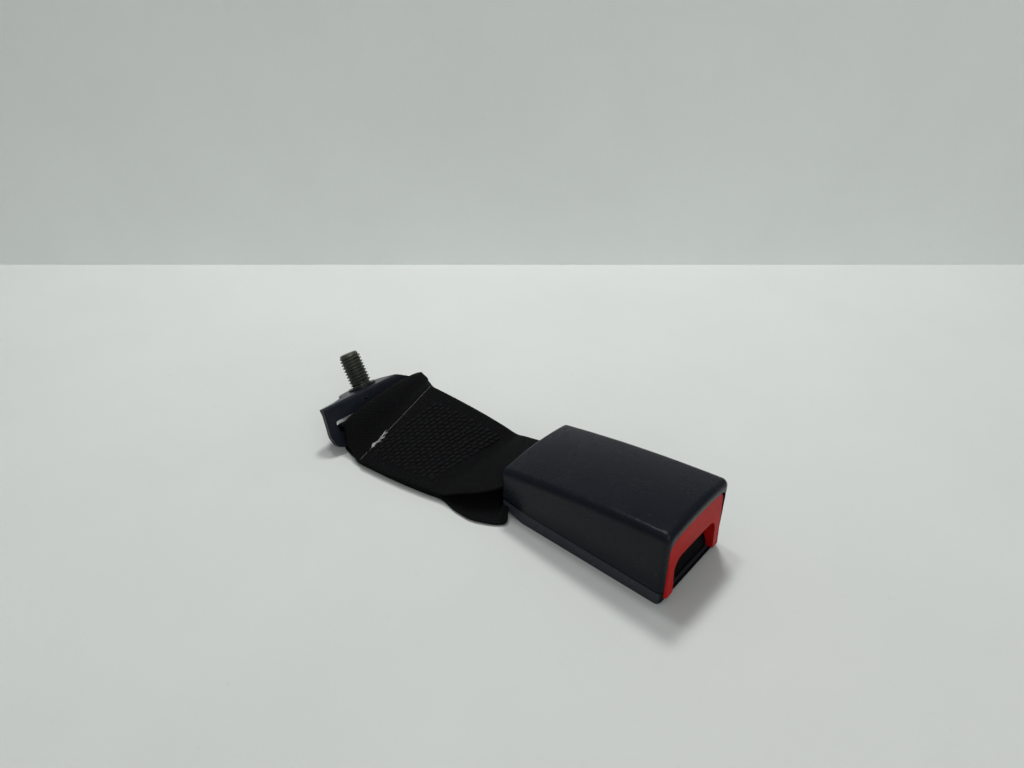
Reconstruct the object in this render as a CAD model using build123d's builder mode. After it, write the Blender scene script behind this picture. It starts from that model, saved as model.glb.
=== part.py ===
"""Seat belt buckle on a sewn webbing loop, with its bent anchor plate and bolt.

Millimetres, +X from the webbing to the push button, +Z up.
The origin is the centre of the buckle's bottom face.
Lengths along the buckle are measured from its rear end.
"""
from build123d import *
from math import atan2, cos, degrees, hypot, radians, sin, sqrt
import os

os.makedirs("parts", exist_ok=True)

# ---- housing ----
length = 74.5
width = 42.0
rear_height = 21.4
front_height = 32.3
crown = 1.2
cross_crown = 1.8
side_wall = 1.8
top_wall = 2.4
floor_wall = 2.2
long_edge_radius = 3.5
front_edge_radius = 2.6
barrel_sweep = 12.0
front_wall = 2.4
rear_bevel_height = 3.8
rear_bevel_length = 10.5
seam_rear = 7.8
seam_front = 5.9
seam_gap = 0.4
lower_inset = 0.25
mouth_half = 18.6
mouth_low = 5.4
mouth_high = 15.6

# ---- button ----
arch_half = 18.8
arch_top = 29.6
arch_rise = 1.6
arch_bottom = 2.6
arch_radius = 4.5
tongue_half = 14.3
tongue_top = 17.4
tongue_radius = 5.0
button_rear = length - 10.5
button_face_top = length - 0.7
button_face_bottom = length + 0.7
button_wall = 1.9
button_stroke = 6.0
button_gap = 0.3
button_room = button_rear - button_stroke - 1.0
guide_rear = length - 17.5
guide_front = length - 2.1

# ---- steel frame ----
sheet = 2.5
plate_low = 8.0
frame_rear = 5.0
frame_front = length - 4.5
rail_half = 18.4
frame_half = 17.0
nose_half = 13.6
slot_start = 12.0
slot_end = 17.5
slot_half = 16.5
nose_start = button_rear - button_stroke - 0.5
nose_slope = 3.0
flange_start = 22.0
flange_end = nose_start - nose_slope - 0.5
flange_top = 21.0
window_start = 47.6
window_end = 54.6
window_half = 5.6
seat_start = 19.5
seat_half = 4.0
seat_height = 3.1

# ---- latch ----
pivot_x = 26.0
pivot_z = 17.2
pin_diameter = 4.0
pin_half = 18.3
press_clearance = 0.01
running_clearance = 0.08
barrel_radius = 3.5
latch_half = 13.9
latch_low = 14.3
latch_sheet = 3.0
lug_half = 12.0
lug_front = 46.0
nose_latch_half = 7.4
latch_front = 54.0
tooth_half = 5.0
tooth_rear = 48.6
tooth_low = 9.2
latch_lift = 10.5

# ---- release slider ----
slider_inner = 8.3
slider_outer = 11.9
slider_low = 13.8
slider_high = 18.6
slider_front = button_rear - 0.5
bridge_start = button_rear - 2.8
bridge_end = button_rear + 6.0
bridge_low = 19.3
bridge_high = 21.3
ramp_gap = 0.35

# ---- ejector ----
ejector_rear = 35.0
ejector_front = 47.0
ejector_half = 14.1
ejector_low = 10.7
ejector_high = 13.3
ejector_slot_half = 1.8
ejector_slot_end = 44.0

# ---- springs ----
ejector_spring_radius = 1.4
latch_spring_radius = 2.7
latch_spring_x = 42.0
latch_spring_top = 25.0
button_spring_radius = 1.5
button_spring_y = 16.2
button_spring_z = 14.0
button_spring_end = button_rear + 7.0
wire = 0.5

# ---- webbing ----
web = 1.25
web_width = 47.5
inner_width = 31.8
guard_skin = 0.8
turn_x = 13.0
turn_clearance = 0.2
plank_rear = -67.0
plank_front = -23.0

# ---- anchor plate and bolt ----
anchor_sheet = 2.6
ridge_height = 19.6
leg_height = 19.4
eye_margin = 1.2
strap_start = 4.4
eye_top = 7.4
eye_bottom = 12.8
bolt_along = 28.3
bolt_back = 12.5
ear_radius = 12.0
bolt_diameter = 10.0
neck_diameter = 9.4
neck_length = 1.2
thread_length = 17.2
tip_diameter = 7.6
tip_length = 2.2
bolt_hole = 10.6
head_flats = 14.0
head_height = 7.4
flange_diameter = 18.6
flange_height = 2.0
ring_overhang = 1.6
ring_thickness = 1.0

rear_x = -length / 2
top_plane = Plane(origin=(rear_x, 0, 0))
side_plane = Plane(origin=(rear_x, 0, 0), x_dir=(1, 0, 0), z_dir=(0, -1, 0))
end_plane = Plane(origin=(rear_x, 0, 0), x_dir=(0, 1, 0), z_dir=(1, 0, 0))
plate_top = plate_low + sheet
plate_mid = plate_low + sheet / 2
guard_outer = sheet / 2 + guard_skin
turn_inner = guard_outer + turn_clearance
turn_mid = turn_inner + web / 2


def at(x):
    """A plane across the buckle, x from its rear end."""
    return end_plane.offset(x)


def level(z):
    """A horizontal plane at height z."""
    return top_plane.offset(z)


def crown_height(x):
    """Height of the housing's long top edges, x from its rear end."""
    share = x / length
    rise = 4 * crown * share * (1 - share)
    return rear_height + (front_height - rear_height) * share + rise


def ramp_height(x):
    """Height of the straight line the latch lug follows on the slider."""
    arm = lug_front - pivot_x
    drop = pivot_z - latch_low
    lift = radians(latch_lift)
    end_x = pivot_x + arm * cos(lift) + drop * sin(lift) + button_stroke
    end_z = pivot_z + arm * sin(lift) - drop * cos(lift)
    slope = (end_z - latch_low) / (end_x - lug_front)
    return latch_low + slope * (x - lug_front) - ramp_gap


def save(part, name):
    """Label a finished piece and write its file."""
    part.label = name
    export_step(part, f"parts/{name}.step")


def barrel():
    """A wide bar whose top is crowned both ways, to cut the housing's outside from."""
    slope = degrees(atan2(front_height - rear_height, length))
    chord = hypot(length, front_height - rear_height)
    rise = crown * cos(radians(slope))
    long_radius = chord**2 / (8 * rise) + rise / 2
    cross_radius = width**2 / (8 * cross_crown) + cross_crown / 2
    half = width / 2 + 3
    edge = long_radius + cross_crown - cross_radius + sqrt(cross_radius**2 - half**2)
    middle = Vector(length / 2, 0, (front_height + rear_height) / 2 + crown)
    reach = radians(90 + slope + barrel_sweep / 2)
    up = Vector(cos(radians(90 + slope)), 0, sin(radians(90 + slope)))
    centre = middle - up * long_radius + Vector(rear_x, 0, 0)
    first = Vector(cos(reach), 0, sin(reach))
    section = Plane(origin=centre, x_dir=(0, 1, 0), z_dir=Vector(0, 1, 0).cross(first))
    with BuildPart() as bar:
        with BuildSketch(section):
            with BuildLine():
                Polyline((-half, edge), (-half, edge - 60), (half, edge - 60), (half, edge))
                ThreePointArc((half, edge), (0, long_radius + cross_crown), (-half, edge))
            make_face()
        revolve(axis=Axis(centre, (0, 1, 0)), revolution_arc=barrel_sweep)
    return bar.part


def housing_block(inset):
    """The housing's whole outside as a wedge crowned both ways, with a rear bevel."""
    with BuildPart() as block:
        with BuildSketch(top_plane):
            with Locations((length / 2, 0)):
                Rectangle(length, width - 2 * inset)
        extrude(amount=2 * front_height)
        add(crowned_bar, mode=Mode.INTERSECT)
        with BuildSketch(side_plane):
            Polygon((-1, -1), (rear_bevel_length, 0), (0, rear_bevel_height), (-1, rear_bevel_height), align=None)
        extrude(amount=width, both=True, mode=Mode.SUBTRACT)
        top = block.faces().sort_by(Axis.Z)[-1]
        long_edges = top.edges().filter_by(lambda edge: abs(edge.center().Y) > 10)
        fillet(long_edges, long_edge_radius)
        front = block.faces().sort_by(Axis.X)[-1].edges()
        fillet(front, front_edge_radius)
        rear = block.faces().sort_by(Axis.X)[0].edges()
        fillet(rear.filter_by(lambda edge: edge.center().Z > rear_bevel_height + 0.5), 1.6)
    return block.part


def seam_region(above):
    """The side view of everything above, or below, the housing seam and its gap."""
    far = 50 if above else -5
    drop = 0 if above else seam_gap
    return [
        (-5, seam_rear - drop),
        (0, seam_rear - drop),
        (0.19 * length, seam_front + 0.6 - drop),
        (length + 5, seam_front - drop),
        (length + 5, far),
        (-5, far),
    ]




def arch_profile(half, top, radius):
    """The button's arched outline, drawn on the sketch plane in use."""
    with BuildSketch(mode=Mode.PRIVATE) as outline:
        with BuildLine():
            Polyline((half, top - arch_rise), (half, 0), (-half, 0), (-half, top - arch_rise))
            ThreePointArc((-half, top - arch_rise), (0, top), (half, top - arch_rise))
        make_face()
        fillet(outline.vertices().group_by(Axis.Y)[-1], radius)
    return outline.sketch


rib_y = frame_half - sheet / 2
inner_half = width / 2 - side_wall
opening = arch_profile(arch_half + button_gap, arch_top + button_gap, arch_radius + button_gap)

# ---- upper cover ----
crowned_bar = barrel()
upper_block = housing_block(0)
with BuildPart() as upper_cover:
    add(upper_block)
    with BuildSketch(side_plane):
        Polygon(*seam_region(True), align=None)
    extrude(amount=width, both=True, mode=Mode.INTERSECT)
    # room for the mechanism
    with BuildSketch(side_plane):
        with BuildLine():
            Polyline(
                (side_wall, rear_height - top_wall),
                (side_wall, 0),
                (length - front_wall, 0),
                (length - front_wall, arch_top - arch_radius - 2),
                (button_room, arch_top - arch_radius - 2),
                (button_room, crown_height(button_room) - top_wall),
            )
            ThreePointArc(
                (button_room, crown_height(button_room) - top_wall),
                (button_room / 2, crown_height(button_room / 2) - top_wall),
                (side_wall, rear_height - top_wall),
            )
        make_face()
    extrude(amount=inner_half, both=True, mode=Mode.SUBTRACT)
    # arch through the front wall and the button's way in
    with BuildSketch(at(button_room)):
        add(opening)
    extrude(amount=length - button_room + 5, mode=Mode.SUBTRACT)
    # mouth for the webbing
    with BuildSketch(at(-1)) as mouth:
        with Locations((0, mouth_high / 2)):
            Rectangle(2 * mouth_half, mouth_high)
        fillet(mouth.vertices().group_by(Axis.Y)[-1], 2.0)
    extrude(amount=side_wall + 2, mode=Mode.SUBTRACT)
    # ribs that hold the steel frame down
    with BuildSketch(level(plate_top)):
        with Locations((19.3, 17.0), (19.3, -17.0)):
            Rectangle(2.0, 4.0)
    extrude(until=Until.NEXT)
    with BuildSketch(level(flange_top)):
        with Locations((50.0, rib_y), (50.0, -rib_y)):
            Rectangle(2.0, sheet)
    extrude(until=Until.NEXT)
    # pad and post for the latch spring
    with BuildSketch(level(latch_spring_top)):
        with Locations((latch_spring_x, 0)):
            Circle(3.4)
    extrude(until=Until.NEXT)
    with BuildSketch(level(latch_spring_top - 1.8)):
        with Locations((latch_spring_x, 0)):
            Circle(latch_spring_radius - wire - 0.3)
    extrude(amount=2.4)
    # catches for the lower cover's hooks
    for centre in (30, 46):
        with BuildSketch(level(11.6)):
            with Locations((centre, 0)):
                Rectangle(6.6, 2 * inner_half + 1.2)
        extrude(amount=2.6, mode=Mode.SUBTRACT)
save(upper_cover.part, "upper_cover")

# ---- lower cover ----
lower_block = housing_block(lower_inset)
with BuildPart() as lower_cover:
    add(lower_block)
    with BuildSketch(side_plane):
        Polygon(*seam_region(False), align=None)
    extrude(amount=width, both=True, mode=Mode.INTERSECT)
    # tray
    with BuildSketch(level(floor_wall)):
        with Locations(((8.0 + guide_front) / 2, 0)):
            Rectangle(guide_front - 8.0, 2 * inner_half)
    extrude(amount=20, mode=Mode.SUBTRACT)
    # webbing mouth floor
    with BuildSketch(level(mouth_low)):
        with Locations((3.5, 0)):
            Rectangle(10, 2 * mouth_half)
    extrude(amount=20, mode=Mode.SUBTRACT)
    # tongue mouth in the front lip
    with BuildSketch(at(length - 3)):
        with Locations((0, arch_bottom - button_gap + 5)):
            Rectangle(2 * (arch_half + button_gap), 10)
    extrude(amount=8, mode=Mode.SUBTRACT)
    # rails that carry the steel frame
    with BuildSketch(level(floor_wall - 0.2)):
        with Locations((38, 9), (38, -9)):
            Rectangle(34, 1.6)
        with Locations((21, 0), (55, 0)):
            Rectangle(1.6, 19.6)
        with Locations((19.3, 17.0), (19.3, -17.0)):
            Rectangle(2.0, 3.6)
    extrude(amount=plate_low - floor_wall + 0.2)
    # snap hooks
    for side in (1, -1):
        for centre in (30, 46):
            hook_plane = at(centre - 3)
            with BuildSketch(hook_plane):
                Polygon(
                    (side * (inner_half - 1.8), floor_wall - 0.2),
                    (side * (inner_half - 0.4), floor_wall - 0.2),
                    (side * (inner_half - 0.4), 11.8),
                    (side * (inner_half + 0.3), 11.8),
                    (side * (inner_half - 0.8), 14.0),
                    (side * (inner_half - 1.8), 14.0),
                    align=None,
                )
            extrude(amount=6)
save(lower_cover.part, "lower_cover")

# ---- steel frame ----
with BuildPart() as buckle_frame:
    with BuildSketch(level(plate_low)) as outline:
        with BuildLine():
            Polyline(
                (frame_rear, -rail_half),
                (flange_start - 1.5, -rail_half),
                (flange_start, -frame_half),
                (nose_start - nose_slope, -frame_half),
                (nose_start, -nose_half),
                (frame_front, -nose_half),
                (frame_front, nose_half),
                (nose_start, nose_half),
                (nose_start - nose_slope, frame_half),
                (flange_start, frame_half),
                (flange_start - 1.5, rail_half),
                (frame_rear, rail_half),
                close=True,
            )
        make_face()
        fillet(outline.vertices().group_by(Axis.X)[0], 1.5)
        fillet(outline.vertices().group_by(Axis.X)[-1], 1.5)
    extrude(amount=sheet)
    with BuildSketch(level(plate_top)):
        for side in (1, -1):
            with Locations(((flange_start + flange_end) / 2, side * (frame_half - sheet / 2))):
                Rectangle(flange_end - flange_start, sheet)
    extrude(amount=flange_top - plate_top)
    # outside bends
    bends = buckle_frame.faces().filter_by(Axis.Y).edges().filter_by(Axis.X)
    bends = bends.filter_by_position(Axis.Z, plate_low - 0.1, plate_low + 0.1)
    fillet([bends.sort_by(Axis.Y)[0], bends.sort_by(Axis.Y)[-1]], 1.8)
    corners = buckle_frame.edges().filter_by(Axis.Y)
    corners = corners.filter_by_position(Axis.Z, flange_top - 0.1, flange_top + 0.1)
    fillet(corners, 3.0)
    # spring seat lanced up from the plate
    with BuildSketch(level(plate_top)):
        with Locations((seat_start + 1, 0)):
            Rectangle(2.0, 2 * seat_half)
    extrude(amount=seat_height)
    # webbing slot
    with BuildSketch(level(plate_low)):
        with Locations(((slot_start + slot_end) / 2, 0)):
            RectangleRounded(slot_end - slot_start, 2 * slot_half, 0.5)
    extrude(amount=sheet, mode=Mode.SUBTRACT)
    # window for the latch tooth
    with BuildSketch(level(plate_low)):
        with Locations(((window_start + window_end) / 2, 0)):
            RectangleRounded(window_end - window_start, 2 * window_half, 0.8)
    extrude(amount=sheet, mode=Mode.SUBTRACT)
    # pin holes
    with BuildSketch(side_plane):
        with Locations((pivot_x, pivot_z)):
            Circle(pin_diameter / 2 + press_clearance)
    extrude(amount=width, both=True, mode=Mode.SUBTRACT)
save(buckle_frame.part, "buckle_frame")

# ---- guard moulded over the bar ----
with BuildPart() as webbing_guard:
    with BuildSketch(side_plane) as guard_section:
        with BuildLine():
            Line((4.2, plate_mid - guard_outer), (turn_x, plate_mid - guard_outer))
            ThreePointArc(
                (turn_x, plate_mid - guard_outer),
                (turn_x + guard_outer, plate_mid),
                (turn_x, plate_mid + guard_outer),
            )
            Polyline(
                (turn_x, plate_mid + guard_outer),
                (4.2, plate_mid + guard_outer),
                (4.2, plate_mid - guard_outer),
            )
        make_face()
        fillet(guard_section.vertices().group_by(Axis.X)[0], 0.6)
        with Locations(((frame_rear + slot_start) / 2, plate_mid)):
            Rectangle(slot_start - frame_rear, sheet, mode=Mode.SUBTRACT)
    extrude(amount=slot_half - 0.5, both=True)
save(webbing_guard.part, "webbing_guard")

# ---- tongue guide under the frame's nose ----
with BuildPart() as tongue_guide:
    with BuildSketch(side_plane):
        Polygon(
            (guide_rear, floor_wall),
            (guide_front, floor_wall),
            (guide_front, 5.2),
            (frame_front + 0.1, plate_top - 0.1),
            (frame_front + 0.1, plate_low),
            (guide_rear, plate_low),
            align=None,
        )
    extrude(amount=tongue_half - 0.7, both=True)
    with BuildSketch(level(floor_wall)):
        with Locations((guide_rear + 6.0, 6.5), (guide_rear + 6.0, -6.5)):
            Rectangle(9.0, 11.0)
    extrude(amount=4.4, mode=Mode.SUBTRACT)
save(tongue_guide.part, "tongue_guide")

# ---- push button ----
button_outline = arch_profile(arch_half, arch_top, arch_radius)
with BuildPart() as press_button:
    with BuildSketch(at(button_rear)):
        add(button_outline)
        with Locations((0, arch_bottom / 2)):
            Rectangle(2 * arch_half + 2, arch_bottom, mode=Mode.SUBTRACT)
    extrude(amount=button_face_bottom - button_rear)
    # slanted face
    with BuildSketch(side_plane):
        Polygon(
            (button_face_top, arch_top),
            (button_face_bottom, arch_bottom),
            (button_face_bottom + 4, arch_bottom - 1),
            (button_face_bottom + 4, arch_top + 4),
            (button_face_top - 0.3, arch_top + 4),
            align=None,
        )
    extrude(amount=width, both=True, mode=Mode.SUBTRACT)
    face = press_button.faces().sort_by(Axis.X)[-1]
    rim = face.edges().filter_by_position(Axis.Z, arch_bottom + 0.2, arch_top + 1)
    chamfer(rim, 0.7)
    # tongue mouth
    with BuildSketch(at(button_rear)) as gate:
        with Locations((0, tongue_top / 2)):
            Rectangle(2 * tongue_half, tongue_top)
        fillet(gate.vertices().group_by(Axis.Y)[-1], tongue_radius)
    extrude(amount=20, mode=Mode.SUBTRACT)
    # hollow behind the face
    hollow_top = arch_top - arch_rise - button_wall
    with BuildSketch(at(button_rear)) as hollow:
        with Locations((0, (bridge_low + hollow_top) / 2)):
            Rectangle(2 * (arch_half - button_wall), hollow_top - bridge_low)
        fillet(hollow.vertices().group_by(Axis.Y)[-1], arch_radius - button_wall)
    extrude(amount=7.0, mode=Mode.SUBTRACT)
    # pockets for the return springs
    with BuildSketch(at(button_rear)):
        with Locations((button_spring_y, button_spring_z), (-button_spring_y, button_spring_z)):
            Circle(button_spring_radius + 0.2)
    extrude(amount=button_spring_end - button_rear, mode=Mode.SUBTRACT)
save(press_button.part, "press_button")

# ---- release slider with its two ramps ----
with BuildPart() as release_cam:
    with BuildSketch(side_plane):
        Polygon(
            (lug_front + 0.4, slider_low),
            (slider_front, slider_low),
            (slider_front, slider_high),
            (lug_front + 7.6, slider_high),
            (lug_front + 7.6, ramp_height(lug_front + 7.6)),
            (lug_front + 0.4, ramp_height(lug_front + 0.4)),
            align=None,
        )
    extrude(amount=slider_outer, both=True)
    with BuildSketch(side_plane):
        Rectangle(slider_front, 40, align=(Align.MIN, Align.MIN))
    extrude(amount=slider_inner, both=True, mode=Mode.SUBTRACT)
    with BuildSketch(side_plane):
        with Locations((bridge_start, slider_low)):
            Rectangle(slider_front - bridge_start, bridge_high - slider_low, align=(Align.MIN, Align.MIN))
    extrude(amount=slider_outer, both=True)
    with BuildSketch(level(bridge_low)):
        with Locations(((bridge_start + bridge_end) / 2, 0)):
            Rectangle(bridge_end - bridge_start, 2 * slider_outer)
    extrude(amount=bridge_high - bridge_low)
    # clear the tongue's way
    with BuildSketch(side_plane):
        with Locations((bridge_start - 1, slider_low - 1)):
            Rectangle(10, bridge_low - slider_low + 1, align=(Align.MIN, Align.MIN))
    extrude(amount=slider_inner, both=True, mode=Mode.SUBTRACT)
save(release_cam.part, "release_cam")

# ---- latch ----
with BuildPart() as latch_plate:
    with BuildSketch(level(latch_low)):
        with Locations(((pivot_x + lug_front) / 2, 0)):
            Rectangle(lug_front - pivot_x, 2 * lug_half)
        with Locations(((lug_front + latch_front) / 2, 0)):
            Rectangle(latch_front - lug_front, 2 * nose_latch_half)
    extrude(amount=latch_sheet)
    with BuildSketch(side_plane):
        with Locations((pivot_x, pivot_z)):
            Circle(barrel_radius)
    extrude(amount=latch_half, both=True)
    with BuildSketch(side_plane):
        Polygon(
            (tooth_rear, tooth_low),
            (latch_front - 1.4, tooth_low),
            (latch_front, latch_low),
            (tooth_rear, latch_low),
            align=None,
        )
    extrude(amount=tooth_half, both=True)
    with BuildSketch(side_plane):
        with Locations((pivot_x, pivot_z)):
            Circle(pin_diameter / 2 + running_clearance)
    extrude(amount=latch_half, both=True, mode=Mode.SUBTRACT)
save(latch_plate.part, "latch_plate")

# ---- latch pin ----
with BuildPart() as latch_pin:
    with BuildSketch(side_plane):
        with Locations((pivot_x, pivot_z)):
            Circle(pin_diameter / 2)
    extrude(amount=pin_half, both=True)
    chamfer(latch_pin.edges(), 0.4)
save(latch_pin.part, "latch_pin")

# ---- ejector ----
with BuildPart() as ejector:
    with BuildSketch(level(ejector_low)):
        with Locations(((ejector_rear + ejector_front) / 2, 0)):
            RectangleRounded(ejector_front - ejector_rear, 2 * ejector_half, 0.8)
        with Locations(((ejector_rear + ejector_slot_end) / 2, 0)):
            Rectangle(ejector_slot_end - ejector_rear, 2 * ejector_slot_half, mode=Mode.SUBTRACT)
        with Locations((ejector_rear + 5.5, 8.0), (ejector_rear + 5.5, -8.0)):
            RectangleRounded(6.0, 6.0, 1.0, mode=Mode.SUBTRACT)
    extrude(amount=ejector_high - ejector_low)
save(ejector.part, "ejector")


def spring_tube(plane, radius, span):
    """The room a small compression spring takes, as a thin tube."""
    with BuildPart() as tube:
        with BuildSketch(plane):
            Circle(radius)
            Circle(radius - wire, mode=Mode.SUBTRACT)
        extrude(amount=span)
    return tube.part


ejector_spring_z = plate_top + ejector_spring_radius + 0.1
seat_front = seat_start + 2.0
spring_plane = Plane(origin=(rear_x + seat_front, 0, ejector_spring_z), z_dir=(1, 0, 0))
save(spring_tube(spring_plane, ejector_spring_radius, ejector_slot_end - seat_front), "ejector_spring")

latch_top = latch_low + latch_sheet
spring_plane = Plane(origin=(rear_x + latch_spring_x, 0, latch_top), z_dir=(0, 0, 1))
save(spring_tube(spring_plane, latch_spring_radius, latch_spring_top - latch_top), "latch_spring")

span = button_spring_end - flange_end
button_tube = spring_tube(Plane.YZ, button_spring_radius, span)
with BuildPart() as button_springs:
    with Locations((rear_x + flange_end, button_spring_y, button_spring_z)):
        add(button_tube)
    with Locations((rear_x + flange_end, -button_spring_y, button_spring_z)):
        add(button_tube)
save(button_springs.part, "button_springs")


# ---- webbing ----
def station(near, far, up, thick):
    """A rectangular section of webbing between its near and far edges."""
    near = Vector(*near)
    far = Vector(*far)
    across = (far - near).normalized()
    up = Vector(*up)
    lift = (up - across * up.dot(across)).normalized()
    middle = (near + far) / 2 + Vector(rear_x, 0, 0)
    plane = Plane(origin=middle, x_dir=across, z_dir=across.cross(lift))
    return plane, (far - near).length, thick


def plank(x, y, roll, low, high):
    """A section of the flat sewn length between two layer heights."""
    across = Vector(0, cos(radians(roll)), sin(radians(roll)))
    lift = Vector(0, -sin(radians(roll)), cos(radians(roll)))
    near = Vector(x, y, 0.25) + lift * (low + high) / 2
    far = near + across * web_width
    return station(near, far, lift, high - low)


def polar(outward, angle):
    """A direction turned up from a level one by an angle in degrees."""
    return outward * cos(radians(angle)) + Vector(0, 0, 1) * sin(radians(angle))


def ruled_block(sections):
    """A straight-ruled solid through the sections."""
    with BuildPart() as block:
        for plane, wide, thick in sections:
            with BuildSketch(plane):
                Rectangle(wide, thick)
        loft(ruled=True)
    return block.part


def ribbon(stations):
    """A strip through the sections, with three flat triangle bands across each side."""
    shares = (-3, -1, 1, 3)
    rings = []
    for plane, wide, thick in stations:
        corners = [(share * wide / 6, -thick / 2) for share in shares]
        corners += [(share * wide / 6, thick / 2) for share in reversed(shares)]
        rings.append([plane.from_local_coords(corner) for corner in corners])
    count = 2 * len(shares)
    faces = [Face(Wire.make_polygon(rings[0][::-1])), Face(Wire.make_polygon(rings[-1]))]
    for first, second in zip(rings, rings[1:]):
        for side in range(count):
            after = (side + 1) % count
            faces.append(Face(Wire.make_polygon([first[side], first[after], second[after]])))
            faces.append(Face(Wire.make_polygon([first[side], second[after], second[side]])))
    return Solid(Shell(faces))


rear_plank = (plank_rear, -39.3, 21.0)
mid_plank = (-40.0, -36.0, 14.0)
front_plank = (plank_front, -32.5, 5.5)
half_inner = inner_width / 2
turn_high = plate_mid + turn_mid
turn_low = plate_mid - turn_mid

# anchor bar's centre line
along = Vector(0.057, 0.99837, 0).normalized()
ridge_near = Vector(-87.75, -39.67, ridge_height)
normal = Vector(0.854, -0.048, 0.518)
normal = (normal - along * normal.dot(along)).normalized()
rise = normal.cross(along)
bar_down = (eye_bottom + leg_height) / 2
bar_width = leg_height - eye_bottom
bar_axis = ridge_near - rise * bar_down - normal * anchor_sheet / 2
bar_inner = hypot(bar_width / 2, anchor_sheet / 2) + turn_clearance
bar_mid = bar_inner + web / 2
bar_near = bar_axis + along * strap_start
bar_far = bar_axis + along * (strap_start + web_width)
forward = Vector(0.99837, -0.057, 0)

def off_bar(near_step, far_step, out):
    """A section placed by steps from the anchor bar's two ends."""
    return station(bar_near + Vector(*near_step), bar_far + Vector(*far_step), out, web)


def round_bar(near_angle, near_radius, far_angle, far_radius):
    """A section placed by an angle and a radius about each end of the anchor bar."""
    near = polar(forward, near_angle) * near_radius
    far = polar(forward, far_angle) * far_radius
    return off_bar(near, far, polar(forward, (near_angle + far_angle) / 2))


upper_run = [
    plank(*front_plank, 2 * web, 3 * web),
    station((-14.2, -30.0, 7.1), (-16, 13.4, 10.2), (-0.2, 0, 1), web),
    station((-8, -26.3, 8.7), (-8, 14.5, 11.3), (-0.2, 0, 1), web),
    station((-2, -22.0, 10.2), (-2.5, 16.5, 12.0), (-0.2, 0, 1), web),
    station((0, -18.2, turn_high), (0, 17.6, turn_high), (0, 0, 1), web),
    station((4, -half_inner, turn_high), (4, half_inner, turn_high), (0, 0, 1), web),
]
for angle in range(90, -91, -30):
    out = polar(Vector(1, 0, 0), angle)
    edge_near = Vector(turn_x, -half_inner, plate_mid) + out * turn_mid
    edge_far = Vector(turn_x, half_inner, plate_mid) + out * turn_mid
    upper_run.append(station(edge_near, edge_far, out, web))
upper_run += [
    station((4, -half_inner, turn_low), (4, half_inner, turn_low), (0, 0, -1), web),
    station((0, -18.0, turn_low), (0, 17.8, turn_low), (0, 0, -1), web),
    station((-3.2, -28.5, 2.0), (-3.5, 17.4, 5.2), (0.3, 0, -1), web),
    station((-9, -34.0, 0.95), (-9, 16.6, 3.3), (0, 0, -1), web),
    station((-16, -35.0, 0.95), (-16, 15.7, 4.2), (0, 0, -1), web),
]
floor_end = plank(*front_plank, 0, web)
floor_plane = Plane(
    origin=floor_end[0].origin,
    x_dir=floor_end[0].x_dir,
    z_dir=-floor_end[0].z_dir,
)
upper_run.append((floor_plane, floor_end[1], floor_end[2]))

eye_run = [
    plank(*rear_plank, web, 2 * web),
    off_bar((7.8, -2.3, 1.85), (5.6, -3.1, 13.45), (0.35, 0, 1)),
    off_bar((3.8, -1.1, 6.1), (1.6, -1.3, 13.1), (0.35, 0, 1)),
    off_bar((1.0, -0.3, 7.75), (0.6, -0.5, 10.65), (0, 0, 1)),
    round_bar(120, 7.6, 115, 7.0),
    round_bar(150, 5.6, 150, 5.6),
    round_bar(180, 4.6, 180, 4.6),
    round_bar(210, bar_mid, 210, bar_mid),
    round_bar(240, bar_mid, 240, bar_mid),
    round_bar(270, bar_mid, 270, bar_mid),
    off_bar((4.1, -0.7, -4.2), (4.0, -0.5, -3.75), (0, 0, -1)),
    off_bar((8.3, -2.1, -4.2), (6.4, -3.1, 5.25), (0.4, 0, -0.9)),
    plank(*rear_plank, 0, web),
]
eye_run[-1] = (Plane(eye_run[-1][0].origin, eye_run[-1][0].x_dir, -eye_run[-1][0].z_dir), web_width, web)
rear_half = ruled_block([plank(*rear_plank, 0, 3 * web), plank(*mid_plank, 0, 3 * web)])
front_half = ruled_block([plank(*mid_plank, 0, 3 * web), plank(*front_plank, 0, 3 * web)])
buckle_loop = ribbon(upper_run)
anchor_loop = ruled_block(eye_run)

with BuildPart() as webbing_strap:
    add(rear_half)
    add(front_half)
    add(buckle_loop)
    add(anchor_loop)
save(webbing_strap.part, "webbing_strap")

# ---- stitching ----
with BuildPart() as strap_stitching:
    rows = 16
    for row in range(rows):
        share = row / (rows - 1)
        x = -62.5 + share * 34.0
        if x < mid_plank[0]:
            blend = (x - plank_rear) / (mid_plank[0] - plank_rear)
            ends = (rear_plank, mid_plank)
        else:
            blend = (x - mid_plank[0]) / (plank_front - mid_plank[0])
            ends = (mid_plank, front_plank)
        first = plank(*ends[0], 0, 3 * web)[0]
        last = plank(*ends[1], 0, 3 * web)[0]
        top_first = first.origin + first.y_dir * 1.5 * web
        top_last = last.origin + last.y_dir * 1.5 * web
        spot = top_first * (1 - blend) + top_last * blend
        across = (first.x_dir * (1 - blend) + last.x_dir * blend).normalized()
        rising = (top_last - top_first).normalized()
        lift = rising.cross(across).normalized()
        row_plane = Plane(origin=spot + lift * 0.08, x_dir=across, z_dir=lift)
        with BuildSketch(row_plane):
            Rectangle(36.0, 0.8)
        extrude(amount=0.35)
save(strap_stitching.part, "strap_stitching")

# ---- anchor plate ----
ridge_origin = ridge_near + Vector(rear_x, 0, 0)
leg_plane = Plane(origin=ridge_origin, x_dir=along, z_dir=normal)
foot_plane = Plane(origin=ridge_origin, x_dir=along, z_dir=rise)

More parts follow.
